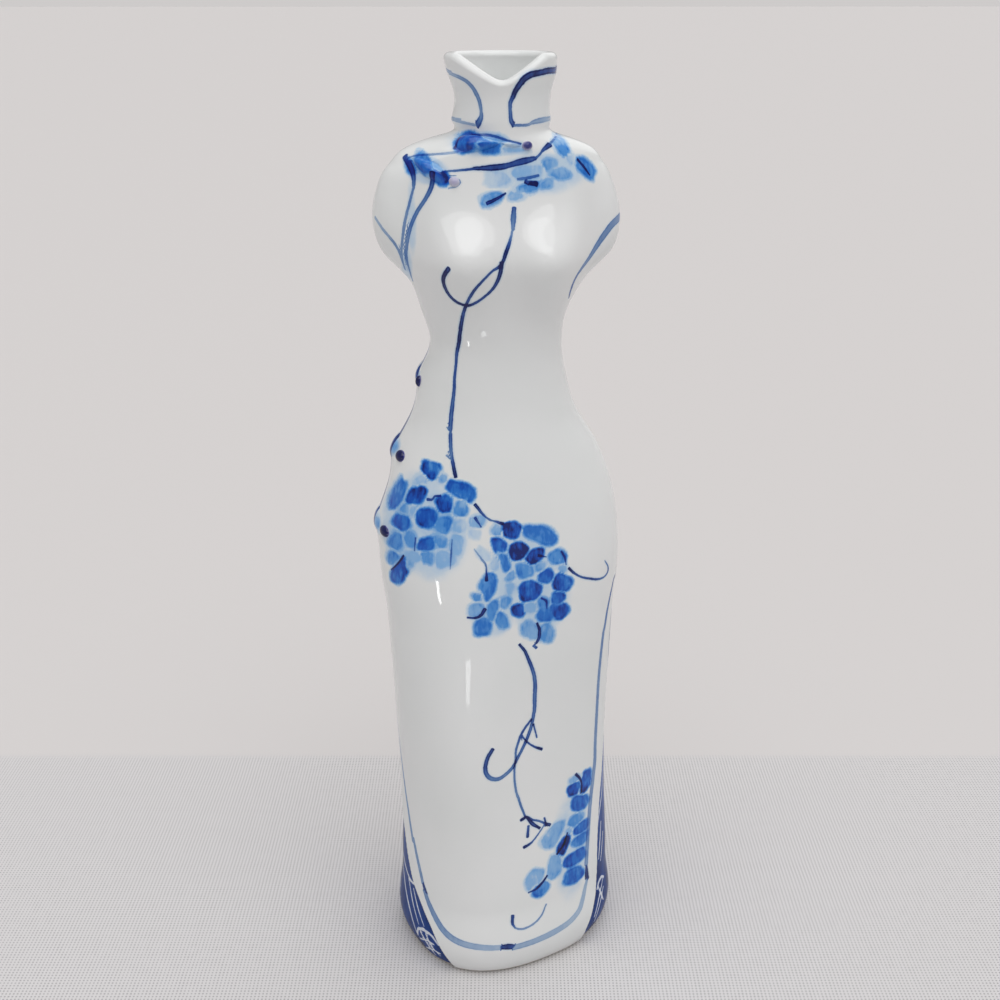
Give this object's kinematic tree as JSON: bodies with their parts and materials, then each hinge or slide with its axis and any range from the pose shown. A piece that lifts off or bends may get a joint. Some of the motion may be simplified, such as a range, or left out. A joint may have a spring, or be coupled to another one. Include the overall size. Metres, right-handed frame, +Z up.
{
  "type": "sake bottle",
  "caption": "Glazed porcelain bottle shaped as a headless cheongsam figure, with an open stand-up collar as its mouth and painted blue flowers.",
  "frame": {"origin": "centre of the bottle's footprint, on the plane that the foot rests on", "axes": "+Z up the figure, -Y the way the figure faces, +X towards the wearer's left hand side"},
  "size_m": [0.0627, 0.0541, 0.2299],
  "materials": {
    "porcelain": "clear gloss glaze over white porcelain, with cobalt painting under it",
    "bare_clay": "unglazed, smooth fired clay",
    "cobalt": "cobalt blue wash under clear gloss glaze",
    "ink": "dense dark cobalt under clear gloss glaze"
  },
  "bodies": {
    "root": {"body_front": "porcelain", "body_back": "porcelain", "foot_slab": "bare_clay", "collar": "porcelain", "collar_frog_leaf": "cobalt", "collar_frog_cord": "cobalt", "collar_frog_knot": "ink", "shoulder_frog_leaf": "cobalt", "shoulder_frog_knot": "ink", "side_frog_leaf_upper": "cobalt", "side_frog_leaf_middle": "cobalt", "side_frog_leaf_lower": "cobalt", "side_frog_knot_upper": "ink", "side_frog_knot_middle": "ink", "side_frog_knot_lower": "ink"}
  },
  "joints": []
}
